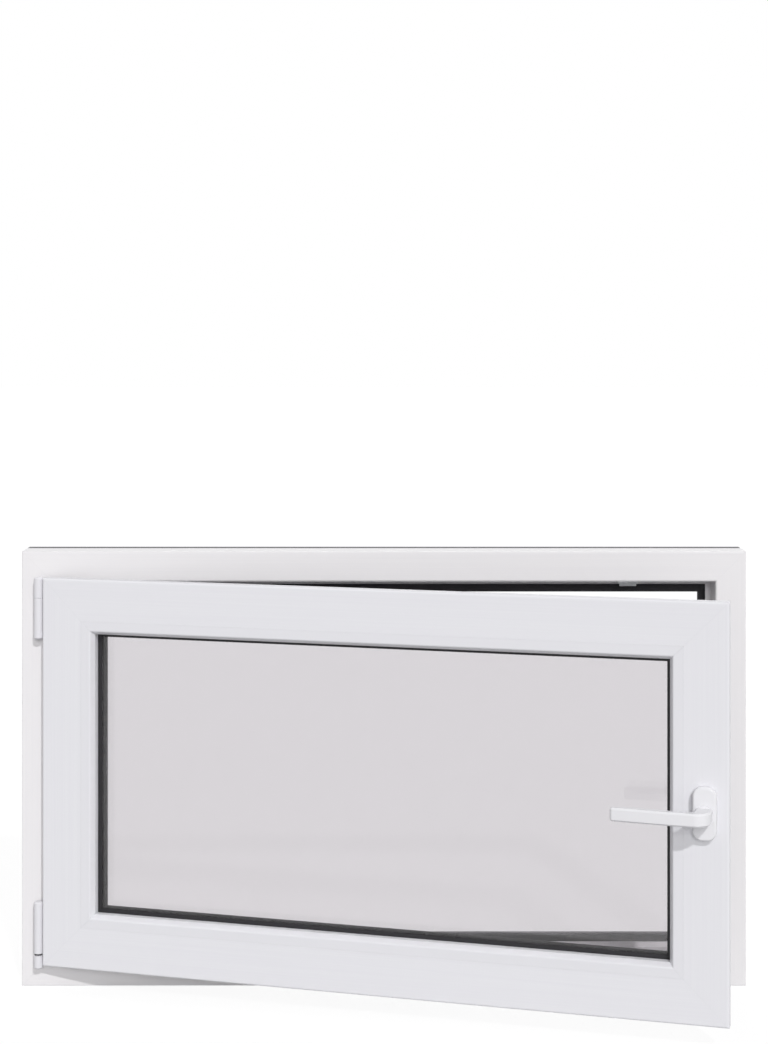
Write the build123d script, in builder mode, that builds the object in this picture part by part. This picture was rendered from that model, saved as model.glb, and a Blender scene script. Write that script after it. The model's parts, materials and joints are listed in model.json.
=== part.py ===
from build123d import *
from math import asin, degrees, radians, sin
import os

os.makedirs("parts", exist_ok=True)

# The window stands in the X Z plane. The room is on the -Y side, the outdoors on the +Y side.
# The origin is on the underside of the sill, at mid-width and mid-depth of the frame.

# Outer frame, millimetres
frame_width = 1000
frame_height = 600
frame_depth = 60
frame_face = 42
rebate_depth = 42
lip_reach = 61
lip_slope = 3
foil = 1
frame_edge_radius = 3

# Sash
frame_reveal = 34
sash_offset = 20
overlap_width = 20
overlap_depth = 15
sash_depth = 57
sash_sight = 77
sash_slope = 3
sash_edge_radius = 3
groove_width = 16
groove_depth = 3
groove_start = 22

# Glazing
bead_width = 20
bead_sight = 75
bead_depth = 18
bead_slope_width = 4.5
bead_slope_depth = 8
bead_edge_radius = 3
gasket_thickness = 3
pane_thickness = 4
pane_gap = 16
glass_edge_gap = 5
spacer_width = 10
gasket_reach = 6
gasket_bulge = 0.5
gasket_lip = 5
gasket_lip_edge = 1

# Seals between the sash and the frame
seal_gap = 0.3
stop_seal_width = 10
overlap_seal_inset = 3
overlap_seal_width = 5

# Hinge line
hinge_inset = 25
hinge_stand_off = 12
rest_opening = 15.3
tilt_angle = 8
cover_radius = 6.5
knuckle_radius = 5
pin_radius = 3
running_gap = 0.1
seat_gap = 0.3
cover_gap = 0.2
cover_chamfer = 2
cover_roof = 4
barrel_chamfer = 1
strap_thickness = 3
strap_gap = 1
bracket_web = 6
knuckle_lift = 1

# Corner bearing at the bottom of the hinge line
tilt_rise = 2
barrel_drop = 7
barrel_rise = 10.7
barrel_floor = 1.5
barrel_bore = 5.2
pivot_foot_radius = 2.5
pivot_foot_length = 7
pin_lift = 0.8
corner_cover_gap = 2.6
corner_cover_height = 70.8
corner_strap_height = 58.8
corner_strap_lift = 4
corner_leg_length = 28
cover_wall = 1.8

# Stay bearing and stay arm at the top of the hinge line
stay_cover_height = 85
stay_eye_height = 28.5
stay_strap_drop = 10
stay_strap_height = 15
stay_foot_lift = 4
stay_arm_width = 14
stay_arm_thickness = 3
stay_arm_lift = 4
stay_arm_length = 300
stay_stud_radius = 2.5
stay_stud_clearance = 1
stay_slot_shift = 3
stay_slot_length = 18
stay_slot_width = 8.5

# Locking parts
faceplate_gap = 0.3
faceplate_end_gap = 15
cam_radius = 4.5
cam_neck_radius = 3
cam_height = 8
cam_head = 3
cam_travel = 18
striker_length = 29
striker_width = 18
striker_corner = 2
striker_thickness = 2.5
striker_hook = 3.5
striker_hook_width = 3
striker_hook_inset = 3
striker_inset = 163
striker_spacing = 300

# Handle
handle_inset = 30
handle_rise = 2.5
rosette_width = 30
rosette_height = 67
rosette_depth = 12
rosette_corner = 12
rosette_chamfer = 1.8
neck_width = 21
neck_reach = 30
collar_radius = 11
collar_thickness = 3
lever_length = 114
lever_height = 17
lever_chamfer = 2.2
lever_tip_round = 4
elbow_reach = 10
elbow_stand_off = 50
elbow_thickness = 11.2
tip_stand_off = 43
tip_thickness = 9

# Drain caps
drain_width = 36
drain_height = 14
drain_depth = 3
drain_spacing = 580
drain_centre_height = 28

# Fixing holes in the jambs
fixing_radius = 3.75
fixing_spacing = 300
fixing_depth = 25

# Worked-out places
inside_y = -frame_depth / 2
outside_y = frame_depth / 2
sash_y = inside_y - sash_offset
sash_width = frame_width - 2 * frame_reveal
sash_height = frame_height - 2 * frame_reveal
hinge_x = -frame_width / 2 + hinge_inset
hinge_y = inside_y - hinge_stand_off
hinge_line = Axis((hinge_x, hinge_y, 0), (0, 0, 1))
tilt_height = frame_reveal + tilt_rise
barrel_bottom = tilt_height - barrel_drop
barrel_top = tilt_height + barrel_rise
corner_cover_bottom = barrel_top + corner_cover_gap
corner_cover_top = corner_cover_bottom + corner_cover_height
stay_cover_top = frame_height - frame_reveal
stay_cover_bottom = stay_cover_top - stay_cover_height
stay_joint_height = stay_cover_top - stay_eye_height
stay_strap_top = stay_cover_top - stay_strap_drop
stay_strap_bottom = stay_strap_top - stay_strap_height
rebate_gap = frame_reveal + overlap_width - frame_face


def ring_planes(width, height, base_y, bottom_z):
    """Four planes at the corners of a ring: X points inward, Y outdoors, Z along the bar."""
    left = -width / 2
    right = width / 2
    top_z = bottom_z + height
    return {
        "hinge": (Plane(origin=(left, base_y, bottom_z), x_dir=(1, 0, 0), z_dir=(0, 0, 1)), height),
        "lock": (Plane(origin=(right, base_y, top_z), x_dir=(-1, 0, 0), z_dir=(0, 0, -1)), height),
        "top": (Plane(origin=(left, base_y, top_z), x_dir=(0, 0, -1), z_dir=(1, 0, 0)), width),
        "bottom": (Plane(origin=(right, base_y, bottom_z), x_dir=(0, 0, 1), z_dir=(-1, 0, 0)), width),
    }


def mitred_bar(outline, rounds, plane, length):
    """One bar of a ring, with both ends cut at 45 degrees."""
    reach = max(point[0] for point in outline)
    depth = max(abs(point[1]) for point in outline)
    with BuildPart() as bar:
        with BuildSketch(plane) as section:
            with BuildLine():
                Polyline(*outline, close=True)
            make_face()
            for point, radius in rounds:
                fillet(section.vertices().sort_by_distance((point[0], point[1], 0))[:1], radius)
        extrude(amount=length)
        flat = Plane(origin=plane.origin, x_dir=plane.x_dir, z_dir=plane.y_dir)
        with BuildSketch(flat):
            with BuildLine():
                Polyline((0, 0), (reach, -reach), (reach, reach - length), (0, -length), close=True)
            make_face()
        extrude(amount=depth + 1, both=True, mode=Mode.INTERSECT)
    return bar.part


def ring(outline, rounds, planes):
    """A closed ring of four mitred bars in one piece."""
    sides = [mitred_bar(outline, rounds, plane, length) for plane, length in planes.values()]
    with BuildPart() as loop:
        for side in sides:
            add(side)
    return loop.part


def save(part, label):
    part.label = label
    export_step(part, f"parts/{label}.step")


def save_sash(part, label):
    """Writes a piece of the sash, turned from its closed place to the open one."""
    save(part.rotate(hinge_line, -rest_opening), label)


frame_planes = ring_planes(frame_width, frame_height, inside_y, 0)
sash_planes = ring_planes(sash_width, sash_height, sash_y, frame_reveal)

# Frame bars: inside face, rebate, stop lip that slopes towards the outdoors
lip_tip = lip_reach - lip_slope
frame_outline = [
    (0, 0),
    (frame_face, 0),
    (frame_face, rebate_depth),
    (lip_reach - foil, rebate_depth),
    (lip_tip - foil, frame_depth - foil),
    (foil, frame_depth - foil),
    (foil, rebate_depth),
    (0, rebate_depth),
]
frame_rounds = [((0, 0), frame_edge_radius / 2), ((frame_face, 0), frame_edge_radius)]
frame_names = {
    "hinge": "frame_hinge_jamb",
    "lock": "frame_lock_jamb",
    "top": "frame_head",
    "bottom": "frame_sill",
}
for side, (plane, length) in frame_planes.items():
    bar = mitred_bar(frame_outline, frame_rounds, plane, length)
    if side in ("hinge", "lock"):
        wall = Plane(
            origin=(plane.origin.X, inside_y + fixing_depth, frame_height / 2),
            x_dir=(0, 1, 0),
            z_dir=plane.x_dir,
        )
        with BuildPart() as drilled:
            add(bar)
            with BuildSketch(wall):
                with GridLocations(0, fixing_spacing, 1, 2):
                    Circle(fixing_radius)
            extrude(amount=frame_face, mode=Mode.SUBTRACT)
        bar = drilled.part
    save(bar, frame_names[side])

# Dark foil on the outdoor side of the frame, turned over the outer edge and the stop lip
foil_outline = [
    (0, rebate_depth),
    (foil, rebate_depth),
    (foil, frame_depth - foil),
    (lip_tip - foil, frame_depth - foil),
    (lip_reach - foil, rebate_depth),
    (lip_reach, rebate_depth),
    (lip_tip, frame_depth),
    (0, frame_depth),
]
save(ring(foil_outline, [((lip_tip, frame_depth), foil / 2)], frame_planes), "frame_foil")

# Seal on the frame's stop face
seal_top = sash_depth - sash_offset + seal_gap
stop_seal_outline = [
    (lip_reach - foil - stop_seal_width, rebate_depth),
    (lip_reach - foil - stop_seal_width, rebate_depth - 2),
    (lip_reach - foil - 3, seal_top),
    (lip_reach - foil, seal_top),
    (lip_reach - foil, rebate_depth),
]
save(ring(stop_seal_outline, [], frame_planes), "frame_seal")

# Drain caps on the outdoor face of the sill
with BuildPart() as drain_caps:
    with BuildSketch(Plane(origin=(0, outside_y, drain_centre_height), x_dir=(-1, 0, 0), z_dir=(0, 1, 0))):
        with GridLocations(drain_spacing, 0, 2, 1):
            RectangleRounded(drain_width, drain_height, 2)
    extrude(amount=drain_depth)
    chamfer(drain_caps.faces().sort_by(Axis.Y)[-2:].edges(), 1)
save(drain_caps.part, "drain_caps")

# Sash bars: overlap, hardware groove, glazing rebate and the outer lip that slopes to the glass
sash_lip_start = bead_depth + 2 * gasket_thickness + 2 * pane_thickness + pane_gap
rebate_floor = sash_sight - bead_width
sash_tip = sash_sight - sash_slope
foil_wrap = sash_depth - overlap_width / 2
groove_end = groove_start + groove_width
sash_outline = [
    (0, 0),
    (rebate_floor, 0),
    (rebate_floor, sash_lip_start),
    (sash_sight - foil, sash_lip_start),
    (sash_tip - foil, sash_depth - foil),
    (overlap_width + foil, sash_depth - foil),
    (overlap_width + foil, foil_wrap),
    (overlap_width, foil_wrap),
    (overlap_width, groove_end),
    (overlap_width + groove_depth, groove_end),
    (overlap_width + groove_depth, groove_start),
    (overlap_width, groove_start),
    (overlap_width, overlap_depth),
    (0, overlap_depth),
]
sash_rounds = [((0, 0), sash_edge_radius), ((0, overlap_depth), sash_edge_radius / 2)]
sash_names = {
    "hinge": "sash_hinge_stile",
    "lock": "sash_lock_stile",
    "top": "sash_top_rail",
    "bottom": "sash_bottom_rail",
}
for side, (plane, length) in sash_planes.items():
    save_sash(mitred_bar(sash_outline, sash_rounds, plane, length), sash_names[side])

# Dark foil on the outdoor side of the sash
sash_foil_outline = [
    (overlap_width, foil_wrap),
    (overlap_width + foil, foil_wrap),
    (overlap_width + foil, sash_depth - foil),
    (sash_tip - foil, sash_depth - foil),
    (sash_sight - foil, sash_lip_start),
    (sash_sight, sash_lip_start),
    (sash_tip, sash_depth),
    (overlap_width, sash_depth),
]
save_sash(ring(sash_foil_outline, [((sash_tip, sash_depth), foil / 2)], sash_planes), "sash_foil")

# Glazing beads, which slope down to the glass
bead_outline = [
    (rebate_floor, 0),
    (bead_sight - bead_slope_width, 0),
    (bead_sight, bead_slope_depth),
    (bead_sight, bead_depth),
    (rebate_floor, bead_depth),
]
bead_rounds = [((bead_sight - bead_slope_width, 0), bead_edge_radius)]
for side, (plane, length) in sash_planes.items():
    save_sash(mitred_bar(bead_outline, bead_rounds, plane, length), f"bead_{side}")

# Gaskets on both sides of the glass, the inner one with a lip that lies on the pane
glass_start = bead_depth + gasket_thickness
glass_end = sash_lip_start - gasket_thickness
bead_gasket_outline = [
    (bead_sight - gasket_reach, bead_depth),
    (bead_sight, bead_depth),
    (bead_sight + gasket_lip, glass_start - gasket_lip_edge),
    (bead_sight + gasket_lip, glass_start),
    (bead_sight - gasket_reach, glass_start),
]
save_sash(ring(bead_gasket_outline, [], sash_planes), "bead_gasket")
glazing_gasket_outline = [
    (sash_sight - gasket_reach, glass_end),
    (sash_sight + gasket_bulge, glass_end),
    (sash_sight + gasket_bulge, sash_lip_start),
    (sash_sight - gasket_reach, sash_lip_start),
]
save_sash(ring(glazing_gasket_outline, [], sash_planes), "glazing_gasket")

# The sealed glass unit: two panes held apart by a spacer
glass_inset = rebate_floor + glass_edge_gap
glass_width = sash_width - 2 * glass_inset
glass_height = sash_height - 2 * glass_inset
pane_places = {
    "inner_pane": glass_start,
    "outer_pane": glass_end - pane_thickness,
}
for label, near in pane_places.items():
    pane_plane = Plane(
        origin=(0, sash_y + near, frame_height / 2),
        x_dir=(-1, 0, 0),
        z_dir=(0, 1, 0),
    )
    with BuildPart() as pane:
        with BuildSketch(pane_plane):
            Rectangle(glass_width, glass_height)
        extrude(amount=pane_thickness)
    save_sash(pane.part, label)

spacer_outline = [
    (glass_inset, glass_start + pane_thickness),
    (glass_inset + spacer_width, glass_start + pane_thickness),
    (glass_inset + spacer_width, glass_end - pane_thickness),
    (glass_inset, glass_end - pane_thickness),
]
save_sash(ring(spacer_outline, [], sash_planes), "glass_spacer")

# The seal under the sash's overlap, let out where the two hinge straps pass
overlap_seal_outline = [
    (overlap_seal_inset, overlap_depth),
    (overlap_seal_inset + overlap_seal_width, overlap_depth),
    (overlap_seal_inset + overlap_seal_width - 1, sash_offset - seal_gap),
    (overlap_seal_inset + 1, sash_offset - seal_gap),
]
overlap_seal_ring = ring(overlap_seal_outline, [], sash_planes)
strap_clearance = 2
with BuildPart() as overlap_seal:
    add(overlap_seal_ring)
    for low, high in ((corner_cover_bottom, corner_cover_top), (stay_strap_bottom, stay_strap_top)):
        cut_height = high - low + 2 * strap_clearance
        cut_plane = Plane.XY.offset(low - strap_clearance)
        with BuildSketch(cut_plane):
            with Locations((-sash_width / 2 + overlap_width / 2, sash_y + sash_offset / 2 + overlap_depth / 2)):
                Rectangle(overlap_width, sash_offset - overlap_depth)
        extrude(amount=cut_height, mode=Mode.SUBTRACT)
save_sash(overlap_seal.part, "sash_seal")

# Steel faceplates in the hardware groove, the top one slotted for the stay
strip_width = groove_width - 2 * faceplate_gap
strip_middle = groove_start + groove_width / 2
strip_end_gap = overlap_width + groove_depth + faceplate_end_gap
stud_x = hinge_x + stay_arm_length
for side, (plane, length) in sash_planes.items():
    floor = plane.origin + plane.x_dir * (overlap_width + groove_depth) + plane.y_dir * strip_middle
    strip_plane = Plane(
        origin=floor + plane.z_dir * (length / 2),
        x_dir=plane.z_dir,
        z_dir=-plane.x_dir,
    )
    with BuildPart() as strip:
        with BuildSketch(strip_plane):
            RectangleRounded(length - 2 * strip_end_gap, strip_width, strip_width / 2 - 0.1)
        extrude(amount=groove_depth)
        if side == "top":
            with BuildSketch(strip_plane):
                with Locations((stud_x - stay_slot_shift, 0)):
                    SlotOverall(stay_slot_length, stay_slot_width)
            extrude(amount=groove_depth, mode=Mode.SUBTRACT)
    save_sash(strip.part, f"faceplate_{side}")

# Mushroom cams on the faceplates, in the place that lets the sash turn
striker_places = {
    "lock": (-striker_spacing / 2, striker_spacing / 2),
    "top": (frame_width / 2 - striker_inset,),
    "bottom": (striker_inset - frame_width / 2,),
}
cam_offset = striker_length / 2 + cam_travel
with BuildPart() as cams:
    for side, places in striker_places.items():
        plane, length = sash_planes[side]
        face = plane.origin + plane.x_dir * overlap_width + plane.y_dir * strip_middle
        for place in places:
            cam_plane = Plane(
                origin=face + plane.z_dir * (length / 2 + place + cam_offset),
                x_dir=plane.z_dir,
                z_dir=-plane.x_dir,
            )
            with BuildSketch(cam_plane):
                Circle(cam_neck_radius)
            extrude(amount=cam_height)
            with BuildSketch(cam_plane.offset(cam_height - cam_head)):
                Circle(cam_radius)
            extrude(amount=cam_head)
save_sash(cams.part, "locking_cams")

# Strikers on the frame's rebate wall: a plate with a hook that the cam slides behind
striker_middle = strip_middle - sash_offset
hook_place = (striker_hook_width - striker_width) / 2
with BuildPart() as strikers:
    for side, places in striker_places.items():
        plane, length = frame_planes[side]
        wall = plane.origin + plane.x_dir * frame_face + plane.y_dir * striker_middle
        for place in places:
            striker_plane = Plane(
                origin=wall + plane.z_dir * (length / 2 + place),
                x_dir=plane.z_dir,
                z_dir=plane.x_dir,
            )
            with BuildSketch(striker_plane):
                RectangleRounded(striker_length, striker_width, striker_corner)
            extrude(amount=striker_thickness)
            with BuildSketch(striker_plane):
                with Locations((0, -hook_place)):
                    Rectangle(striker_length - 2 * striker_hook_inset, striker_hook_width)
            extrude(amount=striker_thickness + striker_hook)
save(strikers.part, "strikers")


def level(height):
    """A level plane with its origin on the hinge line and Y pointing outdoors."""
    return Plane(origin=(hinge_x, hinge_y, height), x_dir=(1, 0, 0), z_dir=(0, 0, 1))


# Corner bearing on the frame: a barrel on the frame's face, open at its top
with BuildPart() as corner_bearing:
    with BuildSketch(level(barrel_bottom)):
        Circle(cover_radius)
        with Locations((0, hinge_stand_off / 2)):
            Rectangle(2 * cover_radius, hinge_stand_off)
    extrude(amount=barrel_top - barrel_bottom)
    chamfer(corner_bearing.faces().sort_by(Axis.Z)[0].edges().sort_by(Axis.Y)[:-1], barrel_chamfer)
    with BuildSketch(level(barrel_bottom + barrel_floor)):
        Circle(barrel_bore)
    extrude(amount=barrel_top, mode=Mode.SUBTRACT)
save(corner_bearing.part, "corner_bearing")

# Turning seat in the barrel, with a half-round groove that takes the foot of the sash's pin
seat_bottom = barrel_bottom + barrel_floor + running_gap
foot_plane = Plane(origin=(hinge_x, hinge_y, tilt_height), x_dir=(0, 1, 0), z_dir=(1, 0, 0))
with BuildPart() as pivot_seat:
    with BuildSketch(level(seat_bottom)):
        Circle(barrel_bore - running_gap)
    extrude(amount=tilt_height - seat_bottom)
    with BuildSketch(foot_plane):
        Circle(pivot_foot_radius + running_gap)
    extrude(amount=2 * barrel_bore, both=True, mode=Mode.SUBTRACT)
save_sash(pivot_seat.part, "pivot_seat")

# Corner hinge of the sash: pin with its cross foot, knuckle, strap behind the overlap, leg on the stile
stile_face_x = -sash_width / 2 + overlap_width
stile_reach = stile_face_x - hinge_x
strap_reach = hinge_stand_off - strap_gap
knuckle_bottom = corner_cover_bottom + knuckle_lift
knuckle_top = corner_cover_top - cover_wall - seat_gap
with BuildPart() as corner_hinge:
    with BuildSketch(level(tilt_height + pin_lift)):
        Circle(pin_radius)
    extrude(amount=knuckle_top - tilt_height - pin_lift)
    with BuildSketch(foot_plane):
        Circle(pivot_foot_radius)
    extrude(amount=pivot_foot_length / 2, both=True)
    with BuildSketch(level(knuckle_bottom)):
        Circle(knuckle_radius)
    extrude(amount=knuckle_top - knuckle_bottom)
    with BuildSketch(level(corner_cover_bottom + corner_strap_lift)):
        with Locations((0, strap_reach / 2)):
            Rectangle(bracket_web, strap_reach)
        with Locations((stile_reach / 2, strap_reach - strap_thickness / 2)):
            Rectangle(stile_reach, strap_thickness)
        with Locations((stile_reach - strap_thickness / 2, strap_reach - strap_thickness + corner_leg_length / 2)):
            Rectangle(strap_thickness, corner_leg_length)
    extrude(amount=corner_strap_height)
save_sash(corner_hinge.part, "corner_hinge")

# Cover of the corner hinge, open towards the frame for the bracket's web
web_slot = bracket_web + 2 * cover_gap
with BuildPart() as corner_cover:
    with BuildSketch(level(corner_cover_bottom)):
        Circle(cover_radius)
    extrude(amount=corner_cover_height)
    chamfer(corner_cover.faces().sort_by(Axis.Z)[-1].edges(), cover_chamfer)
    with BuildSketch(level(corner_cover_bottom)):
        Circle(knuckle_radius + cover_gap)
        with Locations((0, cover_radius / 2)):
            Rectangle(web_slot, cover_radius)
    extrude(amount=corner_cover_height - cover_wall, mode=Mode.SUBTRACT)
save_sash(corner_cover.part, "corner_hinge_cover")

# Stay bearing on the frame: foot, knuckle and the pin that carries the stay arm
stay_foot_bottom = stay_cover_bottom + stay_foot_lift
pin_top = stay_cover_top - cover_roof
with BuildPart() as stay_bearing:
    with BuildSketch(level(stay_foot_bottom)):
        Circle(knuckle_radius)
        with Locations((0, hinge_stand_off / 2)):
            Rectangle(bracket_web, hinge_stand_off)
        with Locations((0, hinge_stand_off - strap_thickness / 2)):
            Rectangle(2 * knuckle_radius, strap_thickness)
    extrude(amount=stay_joint_height - stay_foot_bottom)
    with BuildSketch(level(stay_joint_height)):
        Circle(pin_radius)
    extrude(amount=pin_top - stay_joint_height)
save(stay_bearing.part, "stay_bearing")

# Cover of the stay bearing, chamfered at its lower end
with BuildPart() as bearing_cover:
    with BuildSketch(level(stay_cover_bottom)):
        Circle(cover_radius)
        with Locations((0, hinge_stand_off / 2)):
            Rectangle(2 * cover_radius, hinge_stand_off)
    extrude(amount=stay_joint_height - stay_cover_bottom)
    chamfer(bearing_cover.faces().sort_by(Axis.Z)[0].edges().sort_by(Axis.Y)[:-1], cover_chamfer)
    with BuildSketch(level(stay_foot_bottom - cover_gap)):
        Circle(knuckle_radius + cover_gap)
        with Locations((0, hinge_stand_off / 2)):
            Rectangle(2 * knuckle_radius + 2 * cover_gap, hinge_stand_off)
    extrude(amount=stay_joint_height - stay_foot_bottom + cover_gap, mode=Mode.SUBTRACT)
save(bearing_cover.part, "stay_bearing_cover")

# Stay arm: eye on the pin, strap round the overlap, flat arm over the top rail and its stud
rail_top = frame_height - frame_reveal - overlap_width
arm_bottom = rail_top + stay_arm_lift
arm_reach = strip_middle - sash_offset + hinge_stand_off
eye_bottom = stay_joint_height + seat_gap
eye_top = pin_top - seat_gap
leg_reach = stile_reach - rebate_gap / 2
leg_length = arm_reach + stay_arm_width / 2 - strap_reach + strap_thickness
stud_bottom = rail_top - groove_depth + stay_stud_clearance
with BuildPart() as stay_arm:
    with BuildSketch(level(eye_bottom)):
        Circle(knuckle_radius)
    extrude(amount=eye_top - eye_bottom)
    with BuildSketch(level(stay_strap_bottom)):
        with Locations((0, strap_reach / 2)):
            Rectangle(bracket_web, strap_reach)
        with Locations(((leg_reach + strap_thickness) / 2, strap_reach - strap_thickness / 2)):
            Rectangle(leg_reach + strap_thickness, strap_thickness)
        with Locations((leg_reach + strap_thickness / 2, strap_reach - strap_thickness + leg_length / 2)):
            Rectangle(strap_thickness, leg_length)
    extrude(amount=stay_strap_height)
    with BuildSketch(level(arm_bottom)):
        with Locations(((leg_reach + stay_arm_length) / 2, arm_reach)):
            Rectangle(stay_arm_length - leg_reach, stay_arm_width)
        with Locations((stay_arm_length, arm_reach)):
            Circle(stay_arm_width / 2)
    extrude(amount=stay_arm_thickness)
    with BuildSketch(level(stud_bottom)):
        with Locations((stay_arm_length, arm_reach)):
            Circle(stay_stud_radius)
    extrude(amount=arm_bottom - stud_bottom)
    with BuildSketch(level(eye_bottom)):
        Circle(pin_radius + running_gap)
    extrude(amount=eye_top - eye_bottom, mode=Mode.SUBTRACT)
save_sash(stay_arm.part, "stay_arm")

# Cover of the stay arm's eye
with BuildPart() as eye_cover:
    with BuildSketch(level(eye_bottom)):
        Circle(cover_radius)
    extrude(amount=stay_cover_top - eye_bottom)
    chamfer(eye_cover.faces().sort_by(Axis.Z)[-1].edges(), cover_chamfer)
    with BuildSketch(level(eye_bottom)):
        Circle(knuckle_radius + cover_gap)
        with Locations((0, cover_radius / 2)):
            Rectangle(web_slot, cover_radius)
    extrude(amount=pin_top + cover_gap - eye_bottom, mode=Mode.SUBTRACT)
save_sash(eye_cover.part, "stay_eye_cover")

# Handle rosette on the lock stile
handle_x = sash_width / 2 - handle_inset
handle_z = frame_height / 2 + handle_rise
handle_plane = Plane(origin=(handle_x, sash_y, handle_z), x_dir=(-1, 0, 0), z_dir=(0, -1, 0))
with BuildPart() as rosette:
    with BuildSketch(handle_plane):
        RectangleRounded(rosette_width, rosette_height, rosette_corner)
    extrude(amount=rosette_depth)
    chamfer(rosette.faces().sort_by(Axis.Y)[0].edges(), rosette_chamfer)
save_sash(rosette.part, "handle_rosette")

# Handle lever: collar, neck and elbow, and a bowed grip that points to the hinge side
neck_start = rosette_depth + seat_gap
half_neck = neck_width / 2
plan = Plane(origin=(handle_x, sash_y, handle_z - lever_height / 2), x_dir=(-1, 0, 0), z_dir=(0, 0, 1))
with BuildPart() as lever:
    with BuildSketch(plan):
        with BuildLine():
            neck_back = Line((-half_neck, neck_start), (-half_neck, neck_reach))
            elbow_back = TangentArc(neck_back @ 1, (elbow_reach, elbow_stand_off), tangent=neck_back % 1)
            grip_back = TangentArc(elbow_back @ 1, (lever_length, tip_stand_off), tangent=elbow_back % 1)
            tip = Line(grip_back @ 1, (lever_length, tip_stand_off - tip_thickness))
            neck_front = Line((half_neck, neck_start), (half_neck, neck_reach))
            elbow_front = TangentArc(
                neck_front @ 1,
                (elbow_reach + half_neck, elbow_stand_off - elbow_thickness),
                tangent=neck_front % 1,
            )
            TangentArc(elbow_front @ 1, tip @ 1, tangent=elbow_front % 1)
            Line(neck_back @ 0, neck_front @ 0)
        make_face()
    extrude(amount=lever_height)
    fillet(lever.edges().filter_by(Axis.Z).group_by(Axis.X)[0], lever_tip_round)
    rims = lever.faces().filter_by(Axis.Z).edges()
    chamfer(rims.filter_by_position(Axis.Y, sash_y - 2 * elbow_stand_off, sash_y - neck_start - 1), lever_chamfer)
    with BuildSketch(handle_plane.offset(neck_start)):
        Circle(collar_radius)
    extrude(amount=collar_thickness)
save_sash(lever.part, "handle_lever")

stay_swing = degrees(asin((arm_bottom - tilt_height) * sin(radians(tilt_angle)) / stay_arm_length))
print("stay swing for each degree of tilt", round(stay_swing / tilt_angle, 4))
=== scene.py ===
# %% [markdown]
# A tilt and turn window of white plastic profiles, with a dark foil on its outdoor side.
# The solids come from the imported model. This file gives them their finishes, adds the small
# fasteners, and sets up a pale studio with the camera at the photograph's viewing point.
# Everything is in metres: X runs along the sill, Y points outdoors and Z points up. The bounds
# of the solids are kept at once, and the frame's width is taken from them.

# %% Load the frame
import json
import math

import bmesh
import bpy
from mathutils import Matrix, Vector


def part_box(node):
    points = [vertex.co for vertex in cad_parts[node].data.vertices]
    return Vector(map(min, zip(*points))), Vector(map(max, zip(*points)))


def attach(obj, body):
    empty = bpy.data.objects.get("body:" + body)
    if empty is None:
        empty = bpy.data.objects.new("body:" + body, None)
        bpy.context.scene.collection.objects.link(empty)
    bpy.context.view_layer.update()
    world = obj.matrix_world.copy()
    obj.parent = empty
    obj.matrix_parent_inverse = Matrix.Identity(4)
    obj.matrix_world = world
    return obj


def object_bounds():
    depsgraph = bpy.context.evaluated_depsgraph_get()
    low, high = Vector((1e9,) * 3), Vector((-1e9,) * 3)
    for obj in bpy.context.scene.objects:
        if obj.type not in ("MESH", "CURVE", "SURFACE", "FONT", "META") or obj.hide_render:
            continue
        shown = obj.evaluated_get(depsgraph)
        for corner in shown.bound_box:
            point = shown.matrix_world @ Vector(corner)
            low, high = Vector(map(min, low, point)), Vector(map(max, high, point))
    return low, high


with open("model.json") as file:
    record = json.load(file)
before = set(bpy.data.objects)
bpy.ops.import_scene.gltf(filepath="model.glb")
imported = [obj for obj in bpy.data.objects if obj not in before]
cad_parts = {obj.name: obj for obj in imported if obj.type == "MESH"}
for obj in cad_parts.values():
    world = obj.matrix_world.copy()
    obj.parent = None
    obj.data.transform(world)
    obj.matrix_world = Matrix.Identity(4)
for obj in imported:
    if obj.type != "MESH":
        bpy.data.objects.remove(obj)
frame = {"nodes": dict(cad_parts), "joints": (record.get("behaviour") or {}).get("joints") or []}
cad_low, cad_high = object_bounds()
nodes = frame["nodes"]
joints = {joint["name"]: joint for joint in frame["joints"]}
MM = 0.001
print("loaded", len(nodes), "nodes of a window", [round(x, 3) for x in cad_high - cad_low], "m")

# %% [markdown]
# The sash stands a little open. Its patterns and screws are simplest to place as if it were
# closed, and a turn about the hinge line then brings them to the open place. The hinge line and
# the angle are read from the joint, so they always agree with the solids.

# %% The turn from the closed place to the open one
hinge_point = Vector(joints["turn"]["pos_m"])
rest_angle = math.radians(joints["turn"]["range_deg"][0])
turn_only = Matrix.Rotation(rest_angle, 4, "Z")
rest_turn = Matrix.Translation(hinge_point) @ turn_only @ Matrix.Translation(-hinge_point)
closed_turn = rest_turn.inverted()
print("the sash stands open by", round(-math.degrees(rest_angle), 2), "degrees")

# %% [markdown]
# Colours are written as the hex values that a paint chart gives. The renderer works with
# linear light, so one function turns each of them into linear numbers. The whites of the sash,
# the beads, the caps and the handle differ only a little, as they do on a real window, where
# each is made apart, and the eye tells the pieces apart by that. The frame is the same PVC as
# the sash, but its white is painted lighter. This painted lift of light stands in for the
# brighter light on the frame around the open sash.


# %% Colours
def linear(hex_colour):
    channels = [int(hex_colour[i:i + 2], 16) / 255 for i in (1, 3, 5)]
    return [c / 12.92 if c <= 0.04045 else ((c + 0.055) / 1.055) ** 2.4 for c in channels] + [1.0]


PVC_WHITE = "#EAEAED"
PVC_SHADE = "#E4E3E8"
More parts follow.
